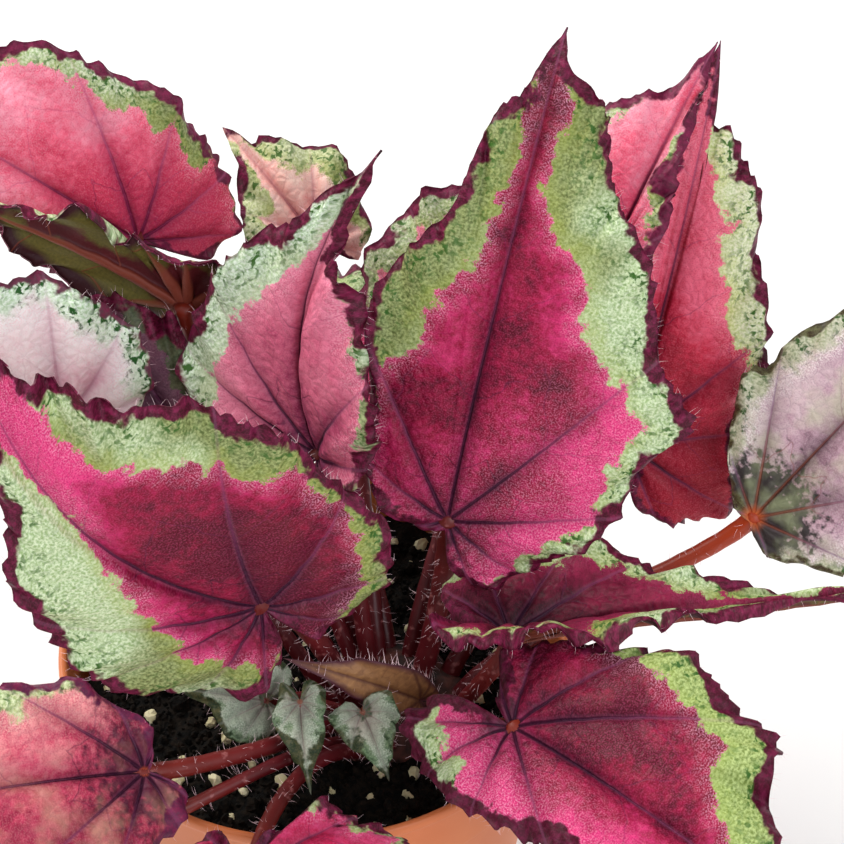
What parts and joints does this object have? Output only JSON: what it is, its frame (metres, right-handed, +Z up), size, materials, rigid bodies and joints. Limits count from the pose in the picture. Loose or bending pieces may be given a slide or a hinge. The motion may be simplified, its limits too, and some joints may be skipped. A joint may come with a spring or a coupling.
{
  "type": "potted rex begonia",
  "caption": "House plant with large waved red and green leaves on thin stalks, rising from a low crown in a round tapered nursery pot of soil.",
  "frame": {"origin": "centre of the pot's flat underside", "axes": "+Z up along the pot's axis; -Y is the front, the side the largest leaves look towards"},
  "size_m": [0.2377, 0.2603, 0.2475],
  "materials": {
    "pot": "satin terracotta-coloured moulded plastic",
    "soil": "dark crumbly potting soil with pale perlite",
    "crown": "rough brown rootstock",
    "sheath": "dry brown hairy sheath",
    "blade": "quilted leaf, crimson centre, green band and dark margin",
    "stalk": "dark red hairy stalk"
  },
  "bodies": {
    "root": {"pot": "pot", "soil": "soil", "crown": "crown", "sheath": "sheath", "blade_centre": "blade", "blade_front_left": "blade", "blade_inner_left": "blade", "blade_upper_left": "blade", "blade_upper_right": "blade", "blade_front_right": "blade", "blade_right": "blade", "blade_edge_on": "blade", "blade_low_left": "blade", "blade_front": "blade", "blade_left": "blade", "blade_back": "blade", "blade_inner_back": "blade", "blade_tip_right": "blade", "blade_underside_left": "blade", "blade_inner_shaded": "blade", "blade_small_shaded": "blade", "blade_young_left": "blade", "blade_young_right": "blade", "blade_rear": "blade", "blade_rear_left": "blade", "blade_rear_right": "blade", "blade_low_front_left": "blade", "stalk_centre": "stalk", "stalk_front_left": "stalk", "stalk_inner_left": "stalk", "stalk_upper_left": "stalk", "stalk_upper_right": "stalk", "stalk_front_right": "stalk", "stalk_right": "stalk", "stalk_edge_on": "stalk", "stalk_low_left": "stalk", "stalk_front": "stalk", "stalk_left": "stalk", "stalk_back": "stalk", "stalk_inner_back": "stalk", "stalk_tip_right": "stalk", "stalk_underside_left": "stalk", "stalk_inner_shaded": "stalk", "stalk_small_shaded": "stalk", "stalk_young_left": "stalk", "stalk_young_right": "stalk", "stalk_rear": "stalk", "stalk_rear_left": "stalk", "stalk_rear_right": "stalk", "stalk_low_front_left": "stalk"}
  },
  "joints": []
}
